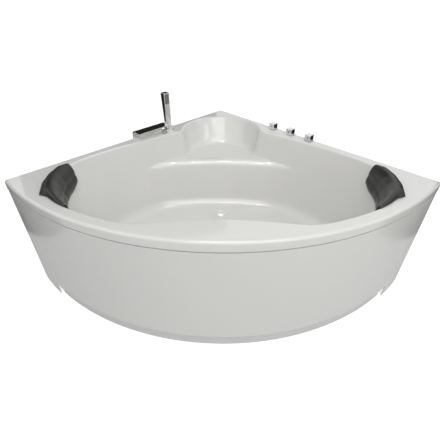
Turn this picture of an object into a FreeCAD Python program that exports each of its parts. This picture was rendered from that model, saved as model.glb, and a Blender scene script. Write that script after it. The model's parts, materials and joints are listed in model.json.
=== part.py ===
import FreeCAD, Part
import math
import os

V = FreeCAD.Vector
SQ2 = math.sqrt(2.0)

# ---------------------------------------------------------------- bath, overall
SIDE = 1350.0            # length of each wall side, and radius of the round front
HEIGHT = 620.0           # floor to the top of the rim
WALL = 6.0               # thickness of the moulded acrylic with its backing
SKIRT = 43.0             # height of the turned-down rim edge
FRONT_ROUND = 12.0       # rounding along the top of the front edge
WALL_ROUND = 3.0         # rounding along the two wall edges
CORNER_ROUND = 10.0      # vertical rounding of the back corner
RIM_ROUND = 9.0          # rounding of the basin's mouth

OVERCUT = 4.0            # how far cutting shapes run past a face
NUDGE = 1.0              # tolerance when edges are picked by their place
STEPS = 3                # flats in each quarter round of the shell
BACK_STEPS = 2           # the same at the shell's underside
REACH = 1.5              # construction boxes reach this many sides out
QUARTER_HALF = 46.0      # half angle of a front ring, before it is cut to the walls

# ---------------------------------------------------------------- basin outline
DECK_FRONT = 53.0        # rim width in front, beside the swelling
DECK_HUMP = 132.0        # rim width in the middle of the front
HUMP_ANGLE = 19.0        # where the swelling's side curves are centred
HUMP_BLEND = 340.0       # radius of the swelling's side curves
DECK_TIP = 42.0          # rim width along the walls, near the tips
DECK_SEAT = 105.0        # rim width along the walls, beside the seat
ALONG_TIP = 1000.0       # distance from the corner where the narrow rim starts
ALONG_SEAT = 450.0       # distance from the corner where the wide rim ends
TIP_RADIUS_TOP = 270.0   # rounding of the basin's ends at the rim
TIP_RADIUS_FLOOR = 345.0 # and at the basin's floor
DRAFT = 0.155            # inward slope of the basin's walls
DEPTH = 430.0            # rim to basin floor
FLOOR_ROUND = 60.0       # rounding between floor and walls

# ---------------------------------------------------------------- corner seat
SEAT_DEPTH = 152.0       # rim to seat
SEAT_HALF_TOP = 228.0    # half width of the recess at the rim
SEAT_HALF_LOW = 203.0    # half width at the seat
SEAT_BACK_TOP = 130.0    # back corner to the top of the backrest
SEAT_BACK_LOW = 213.0    # back corner to the foot of the backrest
SEAT_BACK_ROUND = 24.0   # rounding between backrest and seat
SEAT_PILLAR = 45.0       # rounding of the recess's two mouth edges
SEAT_LIP = 465.0         # back corner to the seat's front edge
SEAT_LIP_ROUND = 40.0    # rounding of that edge
SEAT_LIP_RADIUS = 1500.0 # its curve seen from above
SEAT_LIP_ENDS = 400.0    # rounding where the edge turns into the side walls
RISER_SLOPE = 0.085      # slope of the wall under the seat

# ---------------------------------------------------------------- apron and toe kick
APRON_SETBACK = 1.0      # apron face behind the rim's front face
APRON_THICK = 4.0        # apron sheet
APRON_GAP = 6.0          # shadow gap between the rim and the apron
APRON_FLANGE = 14.0      # inward flange along the apron's top and ends
APRON_END_GAP = 3.0      # apron ends short of the walls
KICK_HEIGHT = 76.0       # floor to the apron's lower edge
KICK_RECESS = 15.0       # toe kick behind the apron face
KICK_RISE = 24.0         # toe kick rises this far behind the apron
KICK_THICK = 5.0         # toe kick sheet
KICK_ANGLE = 38.0        # half angle of the toe kick
FLOOR_GAP = 2.0          # panels end this far above the floor
PANEL_CLEAR = 0.5        # between the apron and the toe kick
CATCH_HEIGHTS = (156.5, 500.0)
CATCH_HIGH = 24.0        # height of a magnetic catch
CATCH_HALF = 0.5         # half its width, in degrees
STRIKER_THICK = 2.0      # steel plate behind the apron
CATCH_CLEAR = 0.3        # between a catch and its plate
GLUE = 0.3               # adhesive between the plate and the apron
CATCH_SEAT = 0.1         # between a catch and its post

# ---------------------------------------------------------------- frame and feet
TUBE = 25.0              # square tube
TUBE_WALL = 2.0
BOARD = 15.0             # board under the basin floor
SEAT_BOARD = 12.0        # board under the seat
BATTEN = 20.0            # height of the wooden battens under the rim
BATTEN_WIDE = 22.0
FRAME_OFF = 9.0          # tubes stand this far from the wall plane
FRONT_RAIL_BACK = 16.0   # front rail behind the apron face
SPINE_X = 260.0          # the two rails under the basin floor
SEAT_RAIL_Y = 350.0      # rails under the seat, from the back corner
CROSS_RAIL_Y = 565.0     # rail behind the waste
SEAT_RAIL_HALF = 150.0   # half length of the rails under the seat
SEAT_POST_X = 120.0
BOARD_CLEAR = 2.0        # seat board behind the wall under the seat
WALL_POST_ALONG = 850.0
FRONT_POST_ANGLES = (-30.0, -10.0, 10.0, 30.0)
POST_HALF = 0.54         # half width of a front post, in degrees
BATTEN_FROM = 770.0      # wall battens, distances from the corner
BATTEN_TO = 1200.0
FRONT_BATTEN_ANGLE = 36.0
FOOT_PAD_R = 20.0
FOOT_PAD_HIGH = 16.0
STUD_R = 6.0
NUT_FLATS = 19.0
NUT_HIGH = 10.0
STUD_CLEAR = 0.2
WALL_FEET = (780.0, 1150.0)   # feet under the wall rails, from the corner
SPINE_FEET_Y = 1200.0    # feet under the long rails, from the back corner
STUD_IN_RAIL = 14.0      # stud inside the rail
KICK_BRACKET_ANGLES = (-28.0, 0.0, 28.0)
KICK_BRACKET_HALF = 0.8  # half width, in degrees
KICK_BRACKET_THICK = 3.0
KICK_BRACKET_LOW = 20.0
WALL_BRACKET_LONG = 60.0
WALL_BRACKET_Z = (480.0, 550.0)
WALL_BRACKET_THICK = 3.0

# ---------------------------------------------------------------- waste and overflow
WASTE_Y = 610.0          # from the back corner
WASTE_R = 26.0           # hole in the basin floor
WASTE_FLANGE_R = 35.0
WASTE_FLANGE_THICK = 2.5
WASTE_BORE = 20.0
GUIDE_BAR_Z = 160.0      # lower face of the bar that guides the plug's stem
GUIDE_BAR_HIGH = 6.0
GUIDE_BAR_SIDE = 3.0     # bar on each side of the stem
GUIDE_BAR_IN = 1.0       # bar ends in the spigot's wall
SPIGOT_WALL = 2.5        # wall of the threaded spigot
BOARD_HOLE_R = 62.0
SEAL_THICK = 4.0
WASTE_NUT_HIGH = 9.0
PLUG_R = 29.0
PLUG_HIGH = 5.0
PLUG_SLOPE_WIDE = 4.0    # sloped top of the plug
PLUG_SLOPE_HIGH = 2.0
STEM_R = 4.0
STEM_LOW = 8.0           # stem ends this far below the bar
STEM_CLEAR = 0.05
TRAP_R = 44.0
TRAP_TOP = 140.0
TRAP_LOW = 62.0
TRAP_WALL = 3.0
TRAP_SOCKET = 14.0       # socket round the waste's spigot
TRAP_INLET = 12.0        # socket of the overflow pipe
PIPE_R = 20.0            # outlet pipe
PIPE_WALL = 2.5
OUTLET_LENGTH = 70.0
OUTLET_Z = 96.0
OUTLET_COLLAR = 4.0      # collar between the trap and its outlet
OUTLET_COLLAR_WALL = 5.0
OVERFLOW_DEPTH = 95.0    # below the rim, on the front wall
OVERFLOW_R = 24.0        # hole in the wall
OVERFLOW_COVER_R = 37.0
OVERFLOW_COVER_OUT = 9.0
OVERFLOW_BODY_R = 30.0
OVERFLOW_PIPE_R = 16.0
KNEE = 1.5               # knee of the overflow pipe, larger than the pipe
OVERFLOW_BACK = 26.0     # overflow pipe behind the basin wall
OVERFLOW_PIPE_END = 30.0 # pipe ends this far below the overflow's middle
OVERFLOW_SOCKET = 42.0   # elbow's socket reaches this far below it
OVERFLOW_LIP = 2.0       # elbow's bore is smaller than the hole by this
OVERFLOW_NOSE = 10.0     # elbow before it is cut to the basin's back
OVERFLOW_CORE = 60.0     # length of the cutting rod of the hole
COVER_BLANK = 30.0       # length of the cover before it is cut to the wall
COVER_SLOT = (-22.0, -12.0)   # water slot, below the overflow's middle
COVER_SLOT_DEEP = 60.0

# ---------------------------------------------------------------- deck taps, right
TAPS_ALONG = (465.0, 586.0, 707.0)   # cold, diverter and hot, from the corner
TAPS_OFF = 26.0          # from the wall
FLANGE_SIZE = 48.0
FLANGE_HIGH = 4.0
FINE_EDGE = 1.0          # small bevel on chromed edges
KNOB_SIZE = 36.0
KNOB_HIGH = 33.0
KNOB_GAP = 1.0
KNOB_EDGE = 1.2
INDEX_R = 3.4            # recess for the index dot
INDEX_DEEP = 0.8
SPINDLE_R = 4.0
SPINDLE_CLEAR = 0.05
SPINDLE_IN_KNOB = 17.0
SPINDLE_IN_VALVE = 20.0
SPINDLE_FLOAT = 1.0      # bore runs past the spindle's end
VALVE_R = 14.0
VALVE_LONG = 56.0
DIVERTER_BLOCK = (50.0, 28.0, 40.0)
DIVERTER_TAILS = 13.0    # its two tails, either side of the middle
PIPE_DROP = 35.0         # pipes below the deck
NECK_R = 10.0
NECK_CLEAR = 0.8         # neck in the deck hole
THREAD_CLEAR = 0.1       # between a nut and its thread
TAP_NUT_FLATS = 30.0
TAP_NUT_HIGH = 9.0
INLET_R = 10.45          # half-inch threaded tail
INLET_LONG = 20.0
INLET_BORE = 7.5
INLET_BORE_IN = 10.0     # bore inside the valve's body
MIXER_PIPE_R = 6.0

# ---------------------------------------------------------------- spout and hand shower, left
SPOUT_FROM = 505.0       # from the corner, along the wall
SPOUT_TO = 698.0
SPOUT_OFF = 6.0          # back of the hood from the wall
SPOUT_REACH = 82.0       # depth of the hood
SPOUT_HIGH = 52.0        # deck to the top of the hood
HOOD_THICK = 6.0
HOOD_BEND = 26.0         # outer radius of the hood's bend
BODY_DEEP = 32.0
BODY_END = 24.0          # body ends inside the hood's ends
SLOT_HIGH = 10.0
SLOT_DEEP = 20.0
SLOT_END = 8.0
FEED_RISE = 1.0          # feed bore ends this far inside the slot
SHANK_R = 12.0
SHANK_BORE = 7.0
SHANK_ALONG = 600.0
SHANK_LOW = 45.0         # thick part of the shank below the deck
SHANK_IN = 18.0          # shank inside the body
CRADLE_ALONG = 481.0
CRADLE_OFF = 45.0
CRADLE_BASE = (50.0, 42.0, 5.0)
CRADLE_BLOCK = (42.0, 30.0, 22.0)
HANDSET = (36.0, 32.0, 209.0)
HANDSET_FOOT = 18.0      # its depth at the foot
HANDSET_EDGE = 3.0
HANDSET_CLEAR = 0.4
HANDSET_FLOOR = 9.0      # cradle floor above the deck, under the handset
SPRAY = (26.0, 52.0)
SPRAY_TOP = 7.0          # from the handset's top to the spray plate
SPRAY_SUNK = 1.2
SPRAY_PROUD = 0.4
HOSE_TAIL_R = 10.48      # half-inch thread under the handset
HOSE_TAIL_LONG = 12.0
HOSE_TAIL_BORE = 6.0
HOSE_TAIL_IN = 20.0      # bore inside the handset
HOSE_BORE_R = 11.0       # bore for the hose
GUIDE_R = 13.0
GUIDE_LOW = 45.0
GUIDE_CLEAR = 0.6        # guide and shank in the deck holes

# ---------------------------------------------------------------- headrests
REST_GAP = 0.3           # headrest above the rim
REST_WALL_GAP = 1.0      # headrest off the basin wall
REST_TURN = -45.0        # the wall's direction, where the station angles start
REST_SUNK = 12.0         # sections run this far into the rim before the cut
# stations round the basin's end: angle, width on the rim, height over the rim,
# thickness off the wall, drop below the rim
REST_STATIONS = (
    (15.0, 8.0, 7.0, 10.0, 45.0),
    (4.0, 12.0, 16.0, 20.0, 88.0),
    (-8.0, 20.0, 22.0, 26.0, 115.0),
    (-14.0, 45.0, 24.0, 28.0, 122.0),
    (-28.0, 36.0, 26.0, 30.0, 126.0),
    (-42.0, 29.0, 26.0, 30.0, 126.0),
    (-56.0, 26.0, 23.0, 27.0, 120.0),
    (-66.0, 14.0, 14.0, 18.0, 98.0),
)

TOP = HEIGHT


def polar(centre, radius, degrees):
    a = math.radians(degrees)
    return (centre[0] + radius * math.cos(a), centre[1] + radius * math.sin(a))


def by_wall(along, off):
    """Right-hand wall coordinates (from the corner, off the wall) to x, y."""
    return ((along - off) / SQ2, -(along + off) / SQ2)


def towards(centre, through, radius):
    """Point at a radius from a centre, on the line through another point."""
    dx = through[0] - centre[0]
    dy = through[1] - centre[1]
    length = math.hypot(dx, dy)
    return (centre[0] + dx * radius / length, centre[1] + dy * radius / length)


def crossing(c1, r1, c2, r2, side):
    """Where two circles cross; side picks one of the two points."""
    dx = c2[0] - c1[0]
    dy = c2[1] - c1[1]
    gap = math.hypot(dx, dy)
    a = (r1 * r1 - r2 * r2 + gap * gap) / (2.0 * gap)
    h = math.sqrt(r1 * r1 - a * a) * side
    return (c1[0] + (a * dx - h * dy) / gap, c1[1] + (a * dy + h * dx) / gap)


def arc(start, end, centre, z):
    """Shorter arc between two points about a centre, at one height."""
    radius = math.hypot(start[0] - centre[0], start[1] - centre[1])
    middle = ((start[0] + end[0]) / 2.0, (start[1] + end[1]) / 2.0)
    via = towards(centre, middle, radius)
    return Part.Arc(V(start[0], start[1], z), V(via[0], via[1], z), V(end[0], end[1], z)).toShape()


def flip(p):
    return (-p[0], p[1])


def half_ellipse(half, rise, y, z):
    """Half an ellipse over the X axis, from +half to -half, as one edge."""
    circle = Part.Arc(V(half, 0.0, 0.0), V(0.0, half, 0.0), V(-half, 0.0, 0.0)).toShape()
    stretch = FreeCAD.Matrix()
    stretch.A22 = rise / half
    edge = circle.transformGeometry(stretch)
    edge.translate(V(0.0, y, z))
    return edge


# ------------------------------------------------------- centres of the outline
FRONT_RADIUS = SIDE - DECK_FRONT
HUMP_SIDE = polar((0.0, 0.0), FRONT_RADIUS - HUMP_BLEND, -90.0 + HUMP_ANGLE)
HUMP_TIP = SIDE - DECK_HUMP
_rise = HUMP_TIP + HUMP_SIDE[1]
HUMP_RADIUS = (HUMP_SIDE[0] ** 2 + _rise ** 2 - HUMP_BLEND ** 2) / (2.0 * (HUMP_BLEND - _rise))
HUMP_CENTRE = (0.0, -HUMP_TIP - HUMP_RADIUS)
_run = ALONG_TIP - ALONG_SEAT
_step = DECK_SEAT - DECK_TIP
SIDE_RADIUS = (_run ** 2 + _step ** 2) / (2.0 * _step)
SIDE_CENTRE = by_wall(ALONG_TIP, DECK_TIP + SIDE_RADIUS)
LIP_CENTRE = (0.0, -SEAT_LIP - SEAT_LIP_RADIUS)


def tip_radius(depth):
    share = depth / DEPTH
    return TIP_RADIUS_TOP + (TIP_RADIUS_FLOOR - TIP_RADIUS_TOP) * share


def half_outline(depth, inset):
    """Centres and joints of the right half, from the front to the side wall."""
    tip = tip_radius(depth)
    tip_centre = crossing((0.0, 0.0), FRONT_RADIUS - tip, SIDE_CENTRE, SIDE_RADIUS - tip, 1)
    if tip_centre[0] < 0.0:
        tip_centre = crossing((0.0, 0.0), FRONT_RADIUS - tip, SIDE_CENTRE, SIDE_RADIUS - tip, -1)
    joints = [towards(HUMP_CENTRE, HUMP_SIDE, HUMP_RADIUS + inset)]
    joints.append(towards((0.0, 0.0), HUMP_SIDE, FRONT_RADIUS - inset))
    joints.append(towards((0.0, 0.0), tip_centre, FRONT_RADIUS - inset))
    joints.append(towards(SIDE_CENTRE, tip_centre, SIDE_RADIUS - inset))
    return joints, [HUMP_SIDE, (0.0, 0.0), tip_centre, SIDE_CENTRE]


def closed(right, centres, back_edges, z):
    """Whole outline: front swelling, right half, back edges, left half."""
    edges = [arc(flip(right[0]), right[0], HUMP_CENTRE, z)]
    count = len(right) - 1
    for i in range(count):
        edges.append(arc(right[i], right[i + 1], centres[i], z))
    edges.extend(back_edges)
    for i in reversed(range(count)):
        edges.append(arc(flip(right[i + 1]), flip(right[i]), flip(centres[i]), z))
    return Part.Wire(edges)


def seat_outline(depth, z, grow):
    """Outline with the seat recess, for the upper part of the basin."""
    inset = DRAFT * depth - grow
    joints, centres = half_outline(depth, inset)
    share = depth / SEAT_DEPTH
    half = SEAT_HALF_TOP + (SEAT_HALF_LOW - SEAT_HALF_TOP) * share + grow
    back = SEAT_BACK_TOP + (SEAT_BACK_LOW - SEAT_BACK_TOP) * share - grow
    lift = max(0.0, 1.0 - (SEAT_DEPTH - depth) / SEAT_BACK_ROUND)
    tuck = SEAT_BACK_ROUND * (1.0 - math.sqrt(1.0 - lift * lift))
    half -= tuck
    back += tuck
    pillar = SEAT_PILLAR - grow
    reach = SIDE_RADIUS - inset + pillar
    px = half + pillar
    py = SIDE_CENTRE[1] + math.sqrt(reach ** 2 - (px - SIDE_CENTRE[0]) ** 2)
    joints.append(towards((px, py), SIDE_CENTRE, pillar))
    joints.append((half, py))
    centres.append((px, py))
    return closed(joints, centres, [half_ellipse(half, -back - py, py, z)], z)


def well_outline(depth, z, grow, lip_back):
    """Outline without the recess, for the lower part of the basin."""
    inset = DRAFT * depth - grow
    joints, centres = half_outline(depth, inset)
    bulge = RISER_SLOPE * (depth - SEAT_DEPTH) - grow - lip_back
    back_radius = SEAT_LIP_RADIUS - bulge
    turn = SEAT_LIP_ENDS + grow
    c = crossing(SIDE_CENTRE, SIDE_RADIUS - inset - turn, LIP_CENTRE, back_radius - turn, 1)
    if c[0] < 0.0 or c[1] < LIP_CENTRE[1]:
        c = crossing(SIDE_CENTRE, SIDE_RADIUS - inset - turn, LIP_CENTRE, back_radius - turn, -1)
    joints.append(towards(SIDE_CENTRE, c, SIDE_RADIUS - inset))
    joints.append(towards(LIP_CENTRE, c, back_radius))
    centres.append(c)
    end = joints[-1]
    return closed(joints, centres, [arc(end, flip(end), LIP_CENTRE, z)], z)


def quarter(count):
    """Sines and cosines of the steps of a quarter round."""
    steps = [math.radians(90.0 * i / count) for i in range(count + 1)]
    return [(math.sin(a), math.cos(a)) for a in steps]


def upper_basin(grow, flared):
    """Rim to seat level, as a stack of outlines."""
    low = TOP - grow
    outlines = []
    if flared:
        outlines.append(seat_outline(0.0, TOP + OVERCUT, grow + RIM_ROUND))
        for sine, cosine in quarter(STEPS):
            depth = RIM_ROUND * (1.0 - cosine)
            outlines.append(seat_outline(depth, TOP - depth, grow + RIM_ROUND * (1.0 - sine)))
    else:
        outlines.append(seat_outline(WALL / 2.0, TOP - WALL / 2.0, grow))
    for sine, cosine in quarter(STEPS if flared else BACK_STEPS):
        depth = SEAT_DEPTH - SEAT_BACK_ROUND * (1.0 - sine)
        outlines.append(seat_outline(depth, low - depth, grow))
    return Part.makeLoft(outlines, True, True)


def lower_basin(grow, steps):
    """Seat level to floor, as a stack of outlines."""
    low = TOP - grow
    outlines = []
    for sine, cosine in quarter(steps):
        depth = SEAT_DEPTH + SEAT_LIP_ROUND * (1.0 - cosine)
        away = SEAT_LIP_ROUND * (1.0 - sine)
        outlines.append(well_outline(depth, low - depth, grow, away))
    radius = FLOOR_ROUND + grow
    for sine, cosine in quarter(steps + 1):
        depth = DEPTH + grow - radius * (1.0 - sine)
        z = low + grow - depth
        outlines.append(well_outline(depth - grow, z, grow - radius * (1.0 - cosine), 0.0))
    return Part.makeLoft(outlines, True, True)


def basin(grow, flared):
    steps = STEPS if flared else 1
    return upper_basin(grow, flared).fuse(lower_basin(grow, steps))


# ---------------------------------------------------------------- small helpers
def block(x0, x1, y0, y1, z0, z1):
    return Part.makeBox(x1 - x0, y1 - y0, z1 - z0, V(x0, y0, z0))


def upright(x, y, wide, deep, z0, z1):
    """Box about an upright middle line."""
    return block(x - wide / 2.0, x + wide / 2.0, y - deep / 2.0, y + deep / 2.0, z0, z1)


def rod(radius, x, y, z0, z1):
    return Part.makeCylinder(radius, z1 - z0, V(x, y, z0))


def at_left(shape):
    """From wall coordinates (along, off, z) to the left-hand wall."""
    turned = shape.copy()
    turned.rotate(V(0, 0, 0), V(0, 0, 1), 225.0)
    return turned


def mirrored(shape):
    return shape.mirror(V(0, 0, 0), V(1, 0, 0))


def at_right(shape):
    return mirrored(at_left(shape))


def ring(r0, r1, z0, z1, a0, a1):
    """Part of a flat ring; the angles start at the middle of the front."""
    corners = [V(r0, 0, z0), V(r1, 0, z0), V(r1, 0, z1), V(r0, 0, z1), V(r0, 0, z0)]
    solid = Part.Face(Part.makePolygon(corners)).revolve(V(0, 0, 0), V(0, 0, 1), a1 - a0)
    solid.rotate(V(0, 0, 0), V(0, 0, 1), a0 - 90.0)
    return solid


def sector(off, radius, z0, z1):
    """Room between the two walls and inside a radius, kept off both walls."""
    far = SIDE * REACH
    square = at_left(block(off, far, off, far, z0, z1))
    return square.common(rod(radius, 0.0, 0.0, z0, z1))


def hexagon(flats, z0, z1, x, y):
    points = [polar((x, y), flats / math.sqrt(3.0), 60.0 * i) for i in range(7)]
    wire = Part.makePolygon([V(p[0], p[1], z0) for p in points])
    return Part.Face(wire).extrude(V(0, 0, z1 - z0))


def nut(flats, bore, z0, z1, x, y):
    return hexagon(flats, z0, z1, x, y).cut(rod(bore, x, y, z0 - OVERCUT, z1 + OVERCUT))


def together(shapes):
    return Part.makeCompound(shapes)


def square_tube(x0, x1, y0, y1, z0, z1, along):
    """Square tube, open along one axis (0, 1 or 2)."""
    low = [x0, y0, z0]
    high = [x1, y1, z1]
    inner_low = [v + TUBE_WALL for v in low]
    inner_high = [v - TUBE_WALL for v in high]
    inner_low[along] = low[along] - OVERCUT
    inner_high[along] = high[along] + OVERCUT
    outer = block(low[0], high[0], low[1], high[1], low[2], high[2])
    inner = block(inner_low[0], inner_high[0], inner_low[1], inner_high[1], inner_low[2], inner_high[2])
    return outer.cut(inner)


# ---------------------------------------------------------------- levels
UNDER_DECK = TOP - WALL
UNDER_FLOOR = TOP - DEPTH - WALL
UNDER_SEAT = TOP - SEAT_DEPTH - WALL
RAIL_TOP = UNDER_FLOOR - BOARD
RAIL_LOW = RAIL_TOP - TUBE
BATTEN_LOW = UNDER_DECK - BATTEN
FLOOR_LEVEL = TOP - DEPTH
APRON_R = SIDE - APRON_SETBACK
APRON_IN = APRON_R - APRON_THICK
APRON_TOP = TOP - SKIRT - APRON_GAP
STRIKER_R = APRON_IN - GLUE
CATCH_R = STRIKER_R - STRIKER_THICK - CATCH_CLEAR
RAIL_R = APRON_R - FRONT_RAIL_BACK
RAIL_IN = RAIL_R - TUBE
TUBE_OFF = FRAME_OFF + TUBE
FRAME_MID = FRAME_OFF + TUBE / 2.0
WALL_RAIL_FROM = (CROSS_RAIL_Y - TUBE / 2.0) * SQ2 - TUBE_OFF
KICK_R = APRON_R - KICK_RECESS
KICK_IN = KICK_R - KICK_THICK
SPOUT_DEEP = SPOUT_OFF + HOOD_THICK + BODY_DEEP / 2.0
CRADLE_XY = (CRADLE_ALONG, CRADLE_OFF)
OVERFLOW_Z = TOP - OVERFLOW_DEPTH
OVERFLOW_Y = -(HUMP_TIP - DRAFT * OVERFLOW_DEPTH)
OVERFLOW_PIPE_Y = OVERFLOW_Y - WALL - OVERFLOW_BACK
VALVE_TOP = UNDER_DECK - TAP_NUT_HIGH
SPINDLE_LOW = VALVE_TOP - SPINDLE_IN_VALVE
CORNER_Y = (SIDE + (SQ2 - 1.0) * CORNER_ROUND) / 2.0


# ---------------------------------------------------------------- bath shell
def deck_block(inset, low):
    """Quarter disc with a rounded front, between two walls."""
    top = TOP - inset
    r = SIDE - inset
    nose = FRONT_ROUND - inset
    points = [V(0, 0, low), V(r, 0, low)]
    for sine, cosine in quarter(STEPS):
        points.append(V(r - nose * (1.0 - cosine), 0, top - nose * (1.0 - sine)))
    points.extend([V(0, 0, top), V(0, 0, low)])
    disc = Part.Face(Part.makePolygon(points)).revolve(V(0, 0, 0), V(0, 0, 1), 360.0)
    far = SIDE * REACH
    square = block(inset, far, inset, far, low - OVERCUT, top)
    upright = [e for e in square.Edges if max(e.BoundBox.XMax, e.BoundBox.YMax) < inset + NUDGE]
    square = square.makeFillet(CORNER_ROUND - inset, upright)
    if inset == 0.0:
        near = 2.0 * CORNER_ROUND
        upper = [e for e in square.Edges if e.BoundBox.ZMin > top - NUDGE]
        rim = [e for e in upper if e.BoundBox.XMin + e.BoundBox.YMin < near]
        square = square.makeFillet(WALL_ROUND, rim)
    return disc.common(at_left(square))


def deck_holes():
    holes = []
    low = UNDER_DECK - OVERCUT
    for along in TAPS_ALONG:
        holes.append(at_right(rod(NECK_R + NECK_CLEAR, along, TAPS_OFF, low, TOP + OVERCUT)))
    holes.append(at_left(rod(SHANK_R + GUIDE_CLEAR, SHANK_ALONG, SPOUT_DEEP, low, TOP + OVERCUT)))
    holes.append(at_left(rod(GUIDE_R + GUIDE_CLEAR, CRADLE_ALONG, CRADLE_OFF, low, TOP + OVERCUT)))
    holes.append(rod(WASTE_R, 0.0, -WASTE_Y, UNDER_FLOOR - OVERCUT, FLOOR_LEVEL + OVERCUT))
    start = V(0, OVERFLOW_Y + OVERFLOW_CORE / 2.0, OVERFLOW_Z)
    holes.append(Part.makeCylinder(OVERFLOW_R, OVERFLOW_CORE, start, V(0, -1, 0)))
    return holes


def bath_shell():
    skirt_low = TOP - SKIRT
    shell = deck_block(0.0, skirt_low).cut(deck_block(WALL, skirt_low - OVERCUT))
    shell = shell.fuse(basin(WALL, False)).cut(basin(0.0, True))
    for hole in deck_holes():
        shell = shell.cut(hole)
    return shell


# ---------------------------------------------------------------- apron, toe kick
def front_sheet(r0, r1, z0, z1, off):
    return ring(r0, r1, z0, z1, -QUARTER_HALF, QUARTER_HALF).common(sector(off, SIDE, z0, z1))


def apron_panel():
    flange = APRON_R - APRON_FLANGE
    sheet = front_sheet(APRON_IN, APRON_R, FLOOR_GAP, APRON_TOP, APRON_END_GAP)
    top = front_sheet(flange, APRON_IN, APRON_TOP - APRON_THICK, APRON_TOP, APRON_END_GAP)
    ends = front_sheet(flange, APRON_IN, FLOOR_GAP, APRON_TOP - APRON_THICK, APRON_END_GAP)
    ends = ends.cut(sector(APRON_END_GAP + APRON_THICK, SIDE, 0.0, TOP))
    low = ring(flange, APRON_IN, KICK_HEIGHT, KICK_HEIGHT + APRON_THICK, -KICK_ANGLE, KICK_ANGLE)
    panel = sheet.fuse(top).fuse(ends).fuse(low)
    return panel.cut(ring(flange - OVERCUT, SIDE, 0.0, KICK_HEIGHT, -KICK_ANGLE, KICK_ANGLE))


def toe_kick():
    half = KICK_ANGLE - PANEL_CLEAR
    return ring(KICK_IN, KICK_R, FLOOR_GAP, KICK_HEIGHT + KICK_RISE, -half, half)


def kick_brackets():
    out = []
    for a in KICK_BRACKET_ANGLES:
        a0 = a - KICK_BRACKET_HALF
        a1 = a + KICK_BRACKET_HALF
        plate = ring(KICK_IN - KICK_BRACKET_THICK, KICK_IN, KICK_BRACKET_LOW, RAIL_LOW, a0, a1)
        foot = ring(RAIL_IN, KICK_IN, RAIL_LOW - KICK_BRACKET_THICK, RAIL_LOW, a0, a1)
        out.append(plate.fuse(foot))
    return together(out)


def catches(r0, r1, half):
    out = []
    for a in FRONT_POST_ANGLES:
        for z in CATCH_HEIGHTS:
            out.append(ring(r0, r1, z - CATCH_HIGH / 2.0, z + CATCH_HIGH / 2.0, a - half, a + half))
    return together(out)


# ---------------------------------------------------------------- frame
def foot_places():
    """Middles of all feet: under the wall rails, the long rails and the seat."""
    out = []
    for along in WALL_FEET:
        x, y = by_wall(along, FRAME_MID)
        out.extend([(-x, y), (x, y)])
    for x, y in ((SPINE_X, -SPINE_FEET_Y), (SEAT_POST_X, -SEAT_RAIL_Y)):
        out.extend([(-x, y), (x, y)])
    return out


def drilled(rail):
    """Holes for the studs in the underside of a rail."""
    for x, y in foot_places():
        rail = rail.cut(rod(STUD_R + STUD_CLEAR, x, y, RAIL_LOW - OVERCUT, RAIL_LOW + TUBE_WALL + OVERCUT))
    return rail


def wall_rail():
    far = SIDE * REACH
    tube = square_tube(WALL_RAIL_FROM, far, FRAME_OFF, TUBE_OFF, RAIL_LOW, RAIL_TOP, 0)
    return at_left(tube).common(rod(RAIL_IN, 0.0, 0.0, RAIL_LOW, RAIL_TOP))


def front_rail():
    tube = ring(RAIL_IN, RAIL_R, RAIL_LOW, RAIL_TOP, -QUARTER_HALF, QUARTER_HALF)
    inner = ring(RAIL_IN + TUBE_WALL, RAIL_R - TUBE_WALL, RAIL_LOW + TUBE_WALL, RAIL_TOP - TUBE_WALL,
                 -QUARTER_HALF, QUARTER_HALF)
    return tube.cut(inner).common(sector(FRAME_OFF, SIDE, RAIL_LOW, RAIL_TOP))


def cross_rail():
    half = TUBE / 2.0
    y = -CROSS_RAIL_Y
    tube = square_tube(-SIDE, SIDE, y - half, y + half, RAIL_LOW, RAIL_TOP, 0)
    return tube.common(sector(TUBE_OFF, RAIL_IN, RAIL_LOW, RAIL_TOP))


def short_rail(top):
    """Rail across under the seat, between the two seat posts' ends."""
    half = TUBE / 2.0
    y = -SEAT_RAIL_Y
    return square_tube(-SEAT_RAIL_HALF, SEAT_RAIL_HALF, y - half, y + half, top - TUBE, top, 0)


def seat_link_rails():
    """Two rails from the cross rail back to the rail under the seat."""
    half = TUBE / 2.0
    x = SEAT_POST_X
    rail = square_tube(x - half, x + half, -CROSS_RAIL_Y + half, -SEAT_RAIL_Y - half, RAIL_LOW, RAIL_TOP, 1)
    return together([mirrored(rail), rail])


def spine_rail():
    half = TUBE / 2.0
    back = -CROSS_RAIL_Y - half
    tube = square_tube(SPINE_X - half, SPINE_X + half, -SIDE, back, RAIL_LOW, RAIL_TOP, 1)
    return tube.common(sector(TUBE_OFF, RAIL_IN, RAIL_LOW, RAIL_TOP))


def front_posts():
    out = []
    wall = math.degrees(TUBE_WALL / RAIL_R)
    for a in FRONT_POST_ANGLES:
        outer = ring(RAIL_IN, RAIL_R, RAIL_TOP, BATTEN_LOW, a - POST_HALF, a + POST_HALF)
        low = RAIL_TOP - OVERCUT
        inner = ring(RAIL_IN + TUBE_WALL, RAIL_R - TUBE_WALL, low, BATTEN_LOW + OVERCUT,
                     a - POST_HALF + wall, a + POST_HALF - wall)
        out.append(outer.cut(inner))
    return together(out)


def wall_posts():
    half = TUBE / 2.0
    along = WALL_POST_ALONG
    post = square_tube(along - half, along + half, FRAME_OFF, TUBE_OFF, RAIL_TOP, BATTEN_LOW, 2)
    return together([at_left(post), at_right(post)])


def seat_posts():
    half = TUBE / 2.0
    top = UNDER_SEAT - SEAT_BOARD - TUBE
    y = -SEAT_RAIL_Y
    post = square_tube(SEAT_POST_X - half, SEAT_POST_X + half, y - half, y + half, RAIL_TOP, top, 2)
    return together([mirrored(post), post])


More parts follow.
